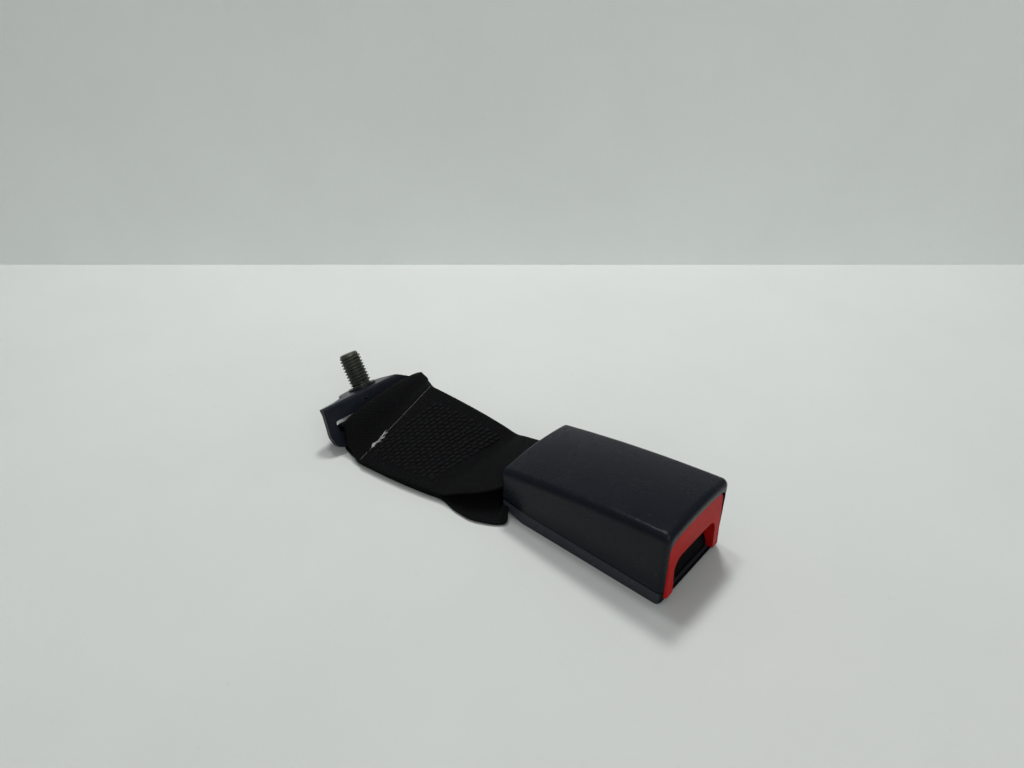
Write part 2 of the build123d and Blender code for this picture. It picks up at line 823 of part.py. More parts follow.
with BuildPart() as anchor_plate:
    with BuildSketch(leg_plane) as leg:
        with BuildLine():
            Polyline(
                (0, 0),
                (-1.8, -12.6),
                (-0.6, -leg_height),
                (55.4, -leg_height),
                (56.6, -13.5),
                (55.0, -8.5),
                (40.6, 0),
                close=True,
            )
        make_face()
        fillet(leg.vertices().group_by(Axis.Y)[0], 5.2)
        with Locations((strap_start + web_width / 2, -(eye_top + eye_bottom) / 2)):
            RectangleRounded(web_width + 2 * eye_margin, eye_bottom - eye_top, 1.2, mode=Mode.SUBTRACT)
        with Locations((21.4, -3.6)):
            Circle(0.9, mode=Mode.SUBTRACT)
    extrude(amount=-anchor_sheet)
    with BuildSketch(foot_plane) as foot:
        with BuildLine():
            Polyline(
                (0, 0),
                (40.6, 0),
                (bolt_along + ear_radius, bolt_back),
                (bolt_along - ear_radius, bolt_back),
                (bolt_along - ear_radius - 8, anchor_sheet + 3),
                (0, anchor_sheet + 1),
                close=True,
            )
        make_face()
        with Locations((bolt_along, bolt_back)):
            Circle(ear_radius)
        with Locations((bolt_along, bolt_back)):
            Circle(bolt_hole / 2, mode=Mode.SUBTRACT)
    extrude(amount=-anchor_sheet)
    fillet(anchor_plate.edges().filter_by(lambda e: abs(e.center().Z - ridge_height) < 0.05), 1.6)
save(anchor_plate.part, "anchor_plate")

# ---- anchor bolt ----
bolt_origin = ridge_origin + along * bolt_along - normal * bolt_back
bolt_plane = Plane(origin=bolt_origin, x_dir=along, z_dir=rise)
with BuildPart() as anchor_bolt:
    with BuildSketch(bolt_plane.offset(-anchor_sheet)):
        Circle(neck_diameter / 2)
    extrude(amount=anchor_sheet + neck_length)
    with BuildSketch(bolt_plane.offset(neck_length)):
        Circle(bolt_diameter / 2)
    extrude(amount=thread_length - neck_length)
    tip = anchor_bolt.faces().sort_by(Axis.Z)[-1]
    chamfer(tip.edges(), tip_length, (bolt_diameter - tip_diameter) / 2, reference=tip)
    with BuildSketch(bolt_plane.offset(-anchor_sheet)):
        Circle(flange_diameter / 2)
    extrude(amount=-flange_height)
    with BuildSketch(bolt_plane.offset(-anchor_sheet - flange_height)):
        RegularPolygon(head_flats / 2, 6, major_radius=False)
    extrude(amount=flange_height - head_height)
save(anchor_bolt.part, "anchor_bolt")

# ---- ring that keeps the bolt in the plate ----
with BuildPart() as retaining_ring:
    with BuildSketch(bolt_plane):
        Circle(bolt_diameter / 2 + ring_overhang)
        Circle(neck_diameter / 2, mode=Mode.SUBTRACT)
    extrude(amount=ring_thickness)
save(retaining_ring.part, "retaining_ring")
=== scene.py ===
"""Dresses a seat belt buckle: webbing loop, stitches, springs, anchor bolt and finishes."""

import bpy
import numpy as np
from bpy.props import FloatProperty, FloatVectorProperty, IntProperty, PointerProperty
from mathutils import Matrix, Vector


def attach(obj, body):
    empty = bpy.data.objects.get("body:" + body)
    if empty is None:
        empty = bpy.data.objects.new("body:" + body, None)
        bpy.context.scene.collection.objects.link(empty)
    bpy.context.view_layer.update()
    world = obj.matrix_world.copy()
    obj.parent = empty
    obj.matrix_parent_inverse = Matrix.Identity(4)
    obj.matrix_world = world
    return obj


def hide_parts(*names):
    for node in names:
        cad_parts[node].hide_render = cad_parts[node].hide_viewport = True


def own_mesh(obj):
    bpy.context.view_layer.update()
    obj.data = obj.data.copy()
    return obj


bl_info = {
    "name": "Seat Belt Buckle",
    "version": (1, 0, 0),
    "blender": (4, 5, 0),
    "location": "View3D > Sidebar > Buckle",
    "description": "Builds the webbing, stitches, springs, bolt and finishes of a seat belt buckle",
    "category": "Object",
}

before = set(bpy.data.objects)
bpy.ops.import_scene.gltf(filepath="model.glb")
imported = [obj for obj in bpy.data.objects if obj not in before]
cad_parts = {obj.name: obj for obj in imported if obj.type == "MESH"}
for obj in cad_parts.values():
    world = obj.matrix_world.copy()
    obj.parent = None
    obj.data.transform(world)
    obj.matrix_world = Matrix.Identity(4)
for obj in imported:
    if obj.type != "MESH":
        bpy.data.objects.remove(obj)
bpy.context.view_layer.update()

MM = 0.001
HALF_LENGTH = 37.25
UP = np.array([0.0, 0.0, 1.0])

# ---- values shared with the solids, in millimetres from the buckle's rear end ----
# one layer's share of the sewn length's height
WEB = 1.25
# height of the buckle frame's middle, and the webbing's turn round the frame's bar
PLATE_MID = 9.25
TURN_X = 13.0
TURN_MID = 2.875
INNER_HALF = 15.9
# the sewn length's set sections: place along, near edge's side, and roll in degrees
REAR_PLANK = (-67.0, -39.3, 21.0)
MID_PLANK = (-40.0, -36.0, 14.0)
FRONT_PLANK = (-23.0, -32.5, 5.5)
PLANK_FOOT = 0.25
# the anchor plate: near end of its ridge, depth of its bar below it, sheet and webbing's start
RIDGE_NEAR = np.array([-87.75, -39.67, 19.6])
BAR_DOWN = 16.1
ANCHOR_SHEET = 2.6
STRAP_START = 4.4
# radius of the webbing's middle round the plate's bar
BAR_MID = 4.372
# place along of the top layer's cut end, and the near edge's foremost point below the mouth
CUT_END = -64.9
LOBE = (0.4, -27.6, 1.1)
# slope and height, at the housing's middle, of the rear and fore stretches of the seam's middle
SEAM_REAR = (-0.0919, 4.18)
SEAM_FORE = (-0.0092, 6.09)
# the bolt's place along the ridge and behind it
BOLT_ALONG = 28.3
BOLT_BACK = 12.5

# ---- the view, in metres and degrees ----
EYE = (0.11909, -0.19346, 0.21454)
VIEW_TURN = 41.13
VIEW_TILT = 56.7
LENS = 27.18
SENSOR = 36.0
WALL_AWAY = 0.470
WALL_HEIGHT = 0.3
FLOOR_REACH = 1.6

# ---- how finely round things are divided ----
COIL_STEPS = 22
COIL_SIDES = 8
STITCH_SIDES = 8
STITCH_RINGS = 5
EDGE_POINTS = 90
EDGE_SIDES = 6
FRAY_POINTS = 7
FRAY_SIDES = 5
WEB_ROWS = 520
WEB_POINTS = 41
BOLT_SIDES = 96
THREAD_STEPS = 12


def unit(vector):
    """A vector divided by its length, on the last axis."""
    vector = np.asarray(vector, float)
    return vector / np.linalg.norm(vector, axis=-1, keepdims=True)


ALONG = unit([0.057, 0.99837, 0.0])
NORMAL = np.array([0.854, -0.048, 0.518])
NORMAL = unit(NORMAL - ALONG * (NORMAL @ ALONG))
RISE = np.cross(NORMAL, ALONG)
BOLT_ORIGIN = RIDGE_NEAR + ALONG * BOLT_ALONG - NORMAL * BOLT_BACK


def placed(points):
    """Millimetres from the buckle's rear end to metres in the shared frame."""
    return (np.asarray(points, float) - np.array([HALF_LENGTH, 0.0, 0.0])) * MM


# ---------------------------------------------------------------- settings
class BuckleSettings(bpy.types.PropertyGroup):
    """Sizes and colours of the pieces that this file builds."""

    web_width: FloatProperty(
        name="Webbing width",
        description="Width of the belt webbing",
        default=0.0475,
        unit="LENGTH",
    )
    web_thickness: FloatProperty(
        name="Webbing thickness",
        description="Thickness of one layer",
        default=0.00117,
        unit="LENGTH",
    )
    stitch_rows: IntProperty(
        name="Stitch rows",
        description="Rows across the webbing",
        default=17,
        min=2,
    )
    stitches_in_row: IntProperty(
        name="Stitches in a row",
        description="Stitches in each row",
        default=13,
        min=2,
    )
    thread_pitch: FloatProperty(
        name="Thread pitch",
        description="Rise of the bolt's thread in one turn",
        default=0.0015,
        unit="LENGTH",
    )
    thread_depth: FloatProperty(
        name="Thread depth",
        description="Depth of the bolt's thread",
        default=0.00088,
        unit="LENGTH",
    )
    wire_diameter: FloatProperty(
        name="Spring wire",
        description="Diameter of the springs' wire",
        default=0.0005,
        unit="LENGTH",
    )
    cover_colour: FloatVectorProperty(
        name="Cover",
        description="Colour of the upper cover",
        default=(0.0066, 0.0080, 0.0120),
        subtype="COLOR",
    )
    # painted light: the lower cover's colour is set lighter than the upper cover's to stand in for
    # the light bounced up onto it from the floor
    lower_colour_with_bounce: FloatVectorProperty(
        name="Lower cover",
        description="Colour of the lower cover",
        default=(0.0350, 0.0390, 0.0480),
        subtype="COLOR",
    )
    button_colour: FloatVectorProperty(
        name="Button",
        description="Colour of the push button",
        default=(0.44, 0.0110, 0.0090),
        subtype="COLOR",
    )
    web_colour: FloatVectorProperty(
        name="Webbing",
        description="Colour of the webbing's yarn",
        default=(0.0042, 0.0043, 0.0048),
        subtype="COLOR",
    )
    plate_colour: FloatVectorProperty(
        name="Anchor plate",
        description="Colour of the plate's coating",
        default=(0.0085, 0.0110, 0.0160),
        subtype="COLOR",
    )
    bolt_colour: FloatVectorProperty(
        name="Bolt",
        description="Colour of the bolt's plating",
        default=(0.085, 0.095, 0.076),
        subtype="COLOR",
    )
    floor_colour: FloatVectorProperty(
        name="Floor",
        description="Colour of the floor",
        default=(0.60, 0.62, 0.60),
        subtype="COLOR",
    )


# ---------------------------------------------------------------- meshes
def signed_volume(points, triangles):
    """Volume inside triangles: a sixth of the sum of each corner triple's scalar product."""
    a, b, c = (points[triangles[:, k]] for k in range(3))
    return np.einsum("ij,ij->i", a, np.cross(b, c)).sum() / 6.0


def make_piece(name, points, quads, triangles, uv=None, angle=None):
    """A mesh object from arrays, with its faces turned outwards if their volume is negative."""
    split = np.concatenate([quads[:, [0, 1, 2]], quads[:, [0, 2, 3]], triangles])
    if signed_volume(points, split) < 0:
        quads = quads[:, ::-1]
        triangles = triangles[:, ::-1]
    mesh = bpy.data.meshes.new(name)
    mesh.from_pydata(points.tolist(), [], quads.tolist() + triangles.tolist())
    mesh.update()
    if uv is not None:
        layer = mesh.uv_layers.new(name="UVMap")
        corners = np.empty(len(mesh.loops), np.int32)
        mesh.loops.foreach_get("vertex_index", corners)
        layer.data.foreach_set("uv", uv[corners].astype(np.float32).ravel())
    mesh.polygons.foreach_set("use_smooth", np.full(len(mesh.polygons), True))
    if angle is not None:
        mesh.set_sharp_from_angle(angle=np.radians(angle))
    piece = bpy.data.objects.new(name, mesh)
    bpy.context.collection.objects.link(piece)
    return piece


def ring_faces(rows, sides, first=0):
    """Quads that join each ring to the next, and fans at both ends on the two last points."""
    index = first + np.arange(rows * sides).reshape(rows, sides)
    right = np.roll(index, -1, axis=1)
    quads = np.stack([index[:-1], right[:-1], right[1:], index[1:]], axis=-1).reshape(-1, 4)
    low = np.full(sides, first + rows * sides)
    start = np.stack([low, right[0], index[0]], axis=-1)
    end = np.stack([low + 1, index[-1], right[-1]], axis=-1)
    return quads, np.concatenate([start, end])


def repeated(faces, count, each):
    """One small piece's faces for a number of copies, which have the same number of points."""
    shift = each * np.arange(count)[:, None, None]
    return (faces[None] + shift).reshape(-1, faces.shape[-1])


def closed_grid(grid, first=0):
    """Points, quads and end triangles of rows of rings, each end closed on its middle."""
    rows, sides = grid.shape[:2]
    points = np.concatenate([grid.reshape(-1, 3), [grid[0].mean(0)], [grid[-1].mean(0)]])
    return points, *ring_faces(rows, sides, first)


def hermite(points, knots, at):
    """Smooth curve through points: a cubic on each span, with centred differences as slopes."""
    slopes = np.gradient(points, knots, axis=0)
    span = np.clip(np.searchsorted(knots, at, side="right") - 1, 0, len(knots) - 2)
    size = (knots[span + 1] - knots[span])[:, None]
    t = (at - knots[span])[:, None] / size
    ends = (2 * t**3 - 3 * t**2 + 1) * points[span] + (3 * t**2 - 2 * t**3) * points[span + 1]
    bends = (t**3 - 2 * t**2 + t) * slopes[span] + (t**3 - t**2) * slopes[span + 1]
    return ends + size * bends


def wire_grid(path, side, radius, count):
    """Rings of a wire: the path plus radius times cos and sin on the side vector and its normal."""
    forward = unit(np.gradient(path, axis=0))
    side = unit(side - forward * (side * forward).sum(-1, keepdims=True))
    other = np.cross(forward, side)
    turn = np.linspace(0, 2 * np.pi, count, endpoint=False)[None, :, None]
    radius = np.broadcast_to(radius, len(path))[:, None, None]
    return path[:, None] + radius * (np.cos(turn) * side[:, None] + np.sin(turn) * other[:, None])


def coil_grid(start, axis, length, radius, wire, turns):
    """Rings of a compression spring: a helix at a set radius whose pitch closes up at both ends."""
    closing = 0.055
    any_way = [0.3, 0.5, 0.8]
    axis = unit(axis)
    side = unit(np.cross(axis, any_way))
    other = np.cross(axis, side)
    t = np.linspace(0, 1, int(turns * COIL_STEPS))
    ease = t - closing * np.sin(2 * np.pi * t)
    angle = 2 * np.pi * turns * t
    out = np.cos(angle)[:, None] * side + np.sin(angle)[:, None] * other
    rise = wire / 2 + (length - wire) * ease
    path = np.asarray(start) + rise[:, None] * axis + out * (radius - wire / 2)
    return wire_grid(path, out, wire / 2, COIL_SIDES)


# ---------------------------------------------------------------- materials
class Finish:
    """Builds one material's nodes: each call adds a node and returns its output."""

    def __init__(self, name, uv=False):
        self.material = bpy.data.materials.new(name)
        self.material.use_nodes = True
        self.tree = self.material.node_tree
        self.shader = self.tree.nodes["Principled BSDF"]
        coordinates = self.tree.nodes.new("ShaderNodeTexCoord")
        self.place = coordinates.outputs["UV" if uv else "Object"]

    def link(self, source, socket):
        """Joins an output, or sets a plain value."""
        if isinstance(source, bpy.types.NodeSocket):
            self.tree.links.new(source, socket)
        else:
            socket.default_value = source

    def scaled(self, scale):
        """The coordinates stretched along each axis."""
        node = self.tree.nodes.new("ShaderNodeMapping")
        self.link(self.place, node.inputs["Vector"])
        node.inputs["Scale"].default_value = scale
        return node.outputs["Vector"]

    def noise(self, scale, detail, rough, place=None):
        """Fractal noise: cells for each metre, octaves, and the share of each finer octave."""
        node = self.tree.nodes.new("ShaderNodeTexNoise")
        self.link(place or self.place, node.inputs["Vector"])
        node.inputs["Scale"].default_value = scale
        node.inputs["Detail"].default_value = detail
        node.inputs["Roughness"].default_value = rough
        return node.outputs["Fac"]

    def cells(self, scale):
        """Distance inside rounded cells, with a number of them for each metre."""
        node = self.tree.nodes.new("ShaderNodeTexVoronoi")
        self.link(self.place, node.inputs["Vector"])
        node.inputs["Scale"].default_value = scale
        return node.outputs["Distance"]

    def axis(self, name):
        """One axis of the coordinates."""
        node = self.tree.nodes.new("ShaderNodeSeparateXYZ")
        self.link(self.place, node.inputs["Vector"])
        return node.outputs[name]

    def math(self, operation, first, second=0.0, third=0.0):
        """One sum on values or outputs."""
        node = self.tree.nodes.new("ShaderNodeMath")
        node.operation = operation
        for value, socket in zip((first, second, third), node.inputs):
            self.link(value, socket)
        return node.outputs["Value"]

    def ramp(self, value, low, high, first, last):
        """A value's span from low to high taken to a span between two numbers."""
        node = self.tree.nodes.new("ShaderNodeMapRange")
        self.link(value, node.inputs["Value"])
        sockets = ("From Min", "From Max", "To Min", "To Max")
        for socket, number in zip(sockets, (low, high, first, last)):
            node.inputs[socket].default_value = number
        return node.outputs["Result"]

    def mix(self, value, first, second):
        """A colour between two, by a value."""
        node = self.tree.nodes.new("ShaderNodeMix")
        node.data_type = "RGBA"
        self.link(value, node.inputs["Factor"])
        self.link(first, node.inputs["A"])
        self.link(second, node.inputs["B"])
        return node.outputs["Result"]

    def clouds(self, colour, scale, detail, rough, dark, light, span=(0.3, 0.7)):
        """The colour wandering between a dark and a light share of itself."""
        share = self.ramp(self.noise(scale, detail, rough), *span, 0, 1)
        return self.mix(share, tone(colour, dark), tone(colour, light))

    def bump(self, height, distance):
        """Tips the surface by a pattern whose full height is a distance in metres."""
        node = self.tree.nodes.new("ShaderNodeBump")
        node.inputs["Distance"].default_value = distance
        self.link(height, node.inputs["Height"])
        return node.outputs["Normal"]

    def done(self, colour, rough, normal, **plain):
        """Joins the shader up, with any plain values set on its own sockets."""
        self.link(colour, self.shader.inputs["Base Color"])
        self.link(rough, self.shader.inputs["Roughness"])
        self.link(normal, self.shader.inputs["Normal"])
        for socket, value in plain.items():
            self.shader.inputs[socket.replace("_", " ")].default_value = value
        return self.material


def tone(colour, share):
    """A colour with its brightness changed by a share."""
    return tuple(min(1.0, max(0.0, c * share)) for c in colour[:3]) + (1.0,)


def grained_plastic(name, colour, lip_shade=False):
    """Moulded plastic: pebbled grain, cloudy colour, duller scuffs and painted shade along the
    covers' seam.

    The seam's height is the larger of its two straight stretches. The seam's painted shade stands
    in for the shadow in the gap between the covers, and lip_shade adds painted shade on the front
    end's face, which faces away from the light.
    """
    grain = 0.000028
    seam_half, seam_shade_half = 0.00042, 0.00066
    lip_start, lip_full = 0.0358, 0.0366
    darkest = 0.95
    finish = Finish(name)
    base = finish.clouds(colour, scale=55, detail=4, rough=0.6, dark=0.90, light=1.10)
    rubbed = finish.noise(26, 6, 0.72, finish.scaled((1.0, 2.6, 1.6)))
    scuff = finish.math("MULTIPLY", finish.ramp(rubbed, 0.60, 0.74, 0, 1), 0.25)
    base = finish.mix(scuff, base, tone(colour, 1.5))
    along = finish.axis("X")
    # painted shade: a dark band along the seam, darkest on it and fading off within a few tenths of
    # a millimetre, stands in for the shadow in the gap between the covers
    rear = finish.math("MULTIPLY_ADD", along, SEAM_REAR[0], SEAM_REAR[1] * MM)
    fore = finish.math("MULTIPLY_ADD", along, SEAM_FORE[0], SEAM_FORE[1] * MM)
    off = finish.math("SUBTRACT", finish.axis("Z"), finish.math("MAXIMUM", rear, fore))
    seam_shade = finish.ramp(finish.math("ABSOLUTE", off), seam_half, seam_shade_half, darkest, 0)
    # painted shade: the lower cover's front face is darkened nearly to black, standing in for the
    # shadow on a face turned away from the light
    if lip_shade:
        lip_face_shade = finish.ramp(along, lip_start, lip_full, 0, darkest)
        seam_shade = finish.math("MAXIMUM", seam_shade, lip_face_shade)
    base = finish.mix(seam_shade, base, tone(colour, 0.05))
    dust = finish.math("MULTIPLY", finish.noise(2600, 2, 0.5), 0.5)
    height = finish.math("ADD", finish.cells(1500), dust)
    gloss = finish.ramp(finish.noise(140, 4, 0.6), 0.3, 0.7, 0.20, 0.30)
    return finish.done(base, gloss, finish.bump(height, grain), Specular_IOR_Level=0.14)


def satin_plastic(name, colour, rough, wear, shine):
    """Smooth moulded plastic with faint flow marks and, where it is worn, hairline rubbing."""
    flow_marks = 0.00004
    finish = Finish(name)
    base = finish.clouds(colour, scale=70, detail=4, rough=0.6, dark=0.85, light=1.14)
    if wear:
        rubbed = finish.noise(160, 5, 0.7, finish.scaled((2.5, 0.5, 1.0)))
        base = finish.mix(finish.ramp(rubbed, 0.55, 0.72, 0, wear), base, tone(colour, 1.9))
    gloss = finish.ramp(finish.noise(220, 4, 0.6), 0.3, 0.7, *rough)
    ripple = finish.bump(finish.noise(520, 3, 0.5), flow_marks)
    return finish.done(base, gloss, ripple, Specular_IOR_Level=shine)


def plated_steel(name, colour, rough, brushed=(1.0, 1.0, 1.0)):
    """Plated steel: drawn streaks, cloudy plating and small stains."""
    streak_depth = 0.00003
    finish = Finish(name)
    base = finish.clouds(colour, scale=90, detail=5, rough=0.65, dark=0.72, light=1.18)
    stain = finish.ramp(finish.noise(240, 6, 0.7), 0.58, 0.7, 0, 0.55)
    base = finish.mix(stain, base, tone(colour, 0.45))
    streak = finish.noise(900, 3, 0.6, finish.scaled(brushed))
    gloss = finish.ramp(streak, 0.3, 0.7, *rough)
    return finish.done(base, gloss, finish.bump(streak, streak_depth), Metallic=1.0)


def coated_steel(name, colour):
    """Dark coating over pressed steel: orange peel, scratches and greyer rubbed spots."""
    peel_depth = 0.00007
    rubbed_grey = (0.026, 0.030, 0.036, 1.0)
    finish = Finish(name)
    base = finish.clouds(colour, scale=85, detail=5, rough=0.6, dark=0.8, light=1.25)
    rubbed = finish.noise(210, 6, 0.75, finish.scaled((1.0, 0.4, 1.0)))
    base = finish.mix(finish.ramp(rubbed, 0.60, 0.72, 0, 0.6), base, rubbed_grey)
    fine = finish.math("MULTIPLY", finish.noise(3200, 2, 0.5), 0.3)
    peel = finish.math("ADD", finish.noise(750, 2, 0.5), fine)
    gloss = finish.ramp(finish.noise(170, 4, 0.6), 0.3, 0.7, 0.30, 0.46)
    return finish.done(base, gloss, finish.bump(peel, peel_depth), Specular_IOR_Level=0.16)


def belt_weave(name, colour):
    """Woven webbing: warp ribs along it, each broken by the picks that cross it in a slant."""
    rib_width, pick_length, weave_depth = 0.0009, 0.0011, 0.00036
    finish = Finish(name, uv=True)
    ribs = finish.math("MULTIPLY", finish.axis("Y"), 1 / rib_width)
    half_rows = finish.math("MULTIPLY", finish.math("FLOOR", ribs), 0.5)
    picks = finish.math("MULTIPLY", finish.axis("X"), 1 / pick_length)
    pick = finish.math("PINGPONG", finish.math("ADD", picks, half_rows), 0.5)
    rib = finish.math("PINGPONG", ribs, 0.5)
    yarn = finish.math("SQRT", finish.math("MULTIPLY", rib, 2.0))
    knuckle = finish.math("POWER", finish.math("MULTIPLY", pick, 2.0), 0.7)
    weave = finish.math("MULTIPLY", yarn, finish.math("MULTIPLY_ADD", knuckle, 0.6, 0.4))
    fuzz = finish.noise(5200, 3, 0.7)
    height = finish.math("ADD", weave, finish.math("MULTIPLY", fuzz, 0.35))
    # painted light and shade: the weave's raised yarn is coloured lighter and its hollows darker
    lit = finish.ramp(weave, 0.1, 1.0, 0, 1)
    base = finish.mix(lit, tone(colour, 0.25), tone(colour, 2.1))
    faded = finish.ramp(finish.noise(120, 5, 0.7), 0.35, 0.75, 0, 0.5)
    base = finish.mix(faded, base, tone(colour, 1.6))
    return finish.done(
        base,
        finish.ramp(fuzz, 0.3, 0.7, 0.62, 0.85),
        finish.bump(height, weave_depth),
        Specular_IOR_Level=0.06,
        Sheen_Weight=0.01,
        Sheen_Roughness=0.5,
    )


def thread_yarn(name, colour):
    """Sewing thread: twisted plies as slanting bands, with loose fuzz."""
    twist, ply_depth = 0.0007, 0.00012
    finish = Finish(name)
    band = finish.math("PINGPONG", finish.math("MULTIPLY", finish.axis("Y"), 1 / twist), 0.5)
    fuzz = finish.noise(4200, 4, 0.7)
    height = finish.math("ADD", band, finish.math("MULTIPLY", fuzz, 0.6))
    lit = finish.ramp(fuzz, 0.3, 0.7, 0, 1)
    return finish.done(
        finish.mix(lit, tone(colour, 0.6), tone(colour, 1.5)),
        finish.ramp(fuzz, 0.3, 0.7, 0.5, 0.75),
        finish.bump(height, ply_depth),
        Specular_IOR_Level=0.10,
        Sheen_Weight=0.02,
    )


def olive_plating(name, colour):
    """Olive zinc plating on a screw: turned marks, cloudy tint and dark grease in hollows."""
    mark_depth = 0.00005
    finish = Finish(name)
    base = finish.clouds(colour, 260, 6, 0.7, dark=0.55, light=1.5, span=(0.32, 0.68))
    grease = finish.ramp(finish.noise(520, 5, 0.7), 0.56, 0.7, 0, 0.7)
    base = finish.mix(grease, base, tone(colour, 0.25))
    marks = finish.noise(1900, 3, 0.6)
    gloss = finish.ramp(marks, 0.3, 0.7, 0.32, 0.52)
    return finish.done(base, gloss, finish.bump(marks, mark_depth), Metallic=0.8)


def plain_ground(name, colour, speck=0.5):
    """Pale painted board with faint cloudy mottling and fine tooth."""
    tooth_depth = 0.00008
    finish = Finish(name)
    base = finish.clouds(colour, scale=9, detail=5, rough=0.6, dark=0.975, light=1.02)
    fleck = finish.ramp(finish.noise(170, 3, 0.6), 0.68, 0.78, 0, speck)
    base = finish.mix(fleck, base, tone(colour, 0.86))
    tooth = finish.bump(finish.noise(650, 3, 0.6), tooth_depth)
    return finish.done(base, 0.75, tooth, Specular_IOR_Level=0.2)


def show_front_only(material):
    """Makes the back of the faces clear, so that a wall hides nothing from behind."""
    nodes, links = material.node_tree.nodes, material.node_tree.links
    blend = nodes.new("ShaderNodeMixShader")
    links.new(nodes.new("ShaderNodeNewGeometry").outputs["Backfacing"], blend.inputs["Fac"])
    links.new(nodes["Principled BSDF"].outputs["BSDF"], blend.inputs[1])
    links.new(nodes.new("ShaderNodeBsdfTransparent").outputs["BSDF"], blend.inputs[2])
    links.new(blend.outputs["Shader"], nodes["Material Output"].inputs["Surface"])


def dress(node, material):
    """Gives a solid its finish, welds its triangles and keeps its hard edges."""
    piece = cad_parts[node]
    if piece.material_slots:
        for slot in piece.material_slots:
            slot.material = material
    else:
        piece.data.materials.append(material)
    piece.data.polygons.foreach_set("use_smooth", np.full(len(piece.data.polygons), True))
    same_point, hard_edge = 0.000002, np.radians(28)
    weld = piece.modifiers.new("weld", "WELD")
    weld.merge_threshold = same_point
    split = piece.modifiers.new("split", "EDGE_SPLIT")
    split.split_angle = hard_edge


def finish_piece(piece, material, body, slot, *nodes):
    """Gives a new piece its material and body, and hides the solids that it stands for. The slot is
    not used.
    """
    piece.data.materials.append(material)
    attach(piece, body)
    if nodes:
        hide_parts(*nodes)


# ---------------------------------------------------------------- the webbing's path
def plank_frame(x):
    """Near corner, across and up vectors of the sewn length, quadratic through its set sections."""
    x = np.asarray(x, float)
    places, sides, rolls = np.array([REAR_PLANK, MID_PLANK, FRONT_PLANK]).T
    side = np.polyval(np.polyfit(places, sides, 2), x)
    roll = np.radians(np.polyval(np.polyfit(places, rolls, 2), x))
    zero = np.zeros_like(x)
    near = np.stack([x, side, zero + PLANK_FOOT], axis=-1)
    across = np.stack([zero, np.cos(roll), np.sin(roll)], axis=-1)
    lift = np.stack([zero, -np.sin(roll), np.cos(roll)], axis=-1)
    return near, across, lift


def plank_run(places, height, width):
    """Near and far edge points along the sewn length at a height above its underside."""
    near, across, lift = plank_frame(places)
    near = near + lift * height
    return np.stack([near, near + across * width], axis=1)


def turned(outward, angle):
    """A level direction turned up by an angle in degrees."""
    return outward * np.cos(np.radians(angle)) + UP * np.sin(np.radians(angle))


def webbing_edges(width):
    """Near and far edges of the whole webbing, from its cut end to its end between the layers."""
    back = np.array([-67.0, -60.0, -52.0, -44.0, -36.0, -29.0, -23.0])
    top = plank_run(np.maximum(back, CUT_END), 2.5 * WEB, width)
    bottom = plank_run(back[::-1], 0.5 * WEB, width)
    middle = plank_run(back, 1.5 * WEB, width)
    high, low = PLATE_MID + TURN_MID, PLATE_MID - TURN_MID
    to_bar = [
        ((-14.2, -30.0, 7.1), (-16, 13.4, 10.2)),
        ((-8, -26.3, 8.7), (-8, 14.5, 11.3)),
        ((-2, -20.6, 10.6), (-2.5, 16.9, 12.0)),
        ((0.5, -18.0, high), (0.5, 17.4, high)),
        ((4, -INNER_HALF, high), (4, INNER_HALF, high)),
        ((8.5, -INNER_HALF, high), (8.5, INNER_HALF, high)),
    ]
    bar_ends = np.array([[TURN_X, -INNER_HALF, PLATE_MID], [TURN_X, INNER_HALF, PLATE_MID]])
    forward = np.array([1.0, 0, 0])
    round_bar = [bar_ends + turned(forward, angle) * TURN_MID for angle in range(90, -91, -20)]
    from_bar = [
        ((8.5, -INNER_HALF, low), (8.5, INNER_HALF, low)),
        ((4, -INNER_HALF, low), (4, INNER_HALF, low)),
        ((0.5, -17.8, low), (0.5, 17.6, low)),
        ((0.3, -23.6, 3.2), (-1.5, 17.6, 6.0)),
        (LOBE, (-4.0, 16.2, 5.1)),
        ((-5.0, -32.9, 0.95), (-7.5, 14.2, 4.4)),
        ((-13.0, -33.7, 0.95), (-14.5, 13.4, 4.0)),
    ]
    level = np.array([0.99837, -0.057, 0.0])
    axis = RIDGE_NEAR - RISE * BAR_DOWN - NORMAL * ANCHOR_SHEET / 2
    far = axis + ALONG * (STRAP_START + width)
    under = [
        ((-71.0, -38.4, 0.95), far + np.array([6.4, -3.1, 5.25])),
        ((-75.3, -37.7, 0.95), far + np.array([4.0, -0.5, -3.75])),
    ]
    # angle and radius of the near edge, the same of the far edge, and the near edge's start
    turns = [
        (270, BAR_MID, 270, BAR_MID, 3.9),
        (250, BAR_MID, 250, BAR_MID, 5.0),
        (230, BAR_MID, 230, BAR_MID, 6.2),
        (210, BAR_MID, 210, BAR_MID, 6.4),
        (180, 4.6, 180, 4.6, 6.0),
        (150, 5.3, 150, 5.3, 4.2),
        (118, 6.6, 117, 6.4, 3.5),
        (92, 7.2, 90, 8.4, 4.0),
    ]
    around = [
        (axis + ALONG * start + turned(level, near) * r, far + turned(level, other) * q)
        for near, r, other, q, start in turns
    ]
    over = [
        ((-79.2, -35.4, 13.2), (-78.0, 10.6, 17.6)),
        ((-76.6, -36.7, 11.0), (-76.3, 9.6, 18.9)),
        ((-72.5, -37.9, 6.6), (-72.0, 8.5, 18.9)),
    ]
    buckle_side = np.array([*to_bar, *round_bar, *from_bar], float)
    anchor_side = np.array(under + around + over, float)
    return np.concatenate([top, buckle_side, bottom, anchor_side, middle])


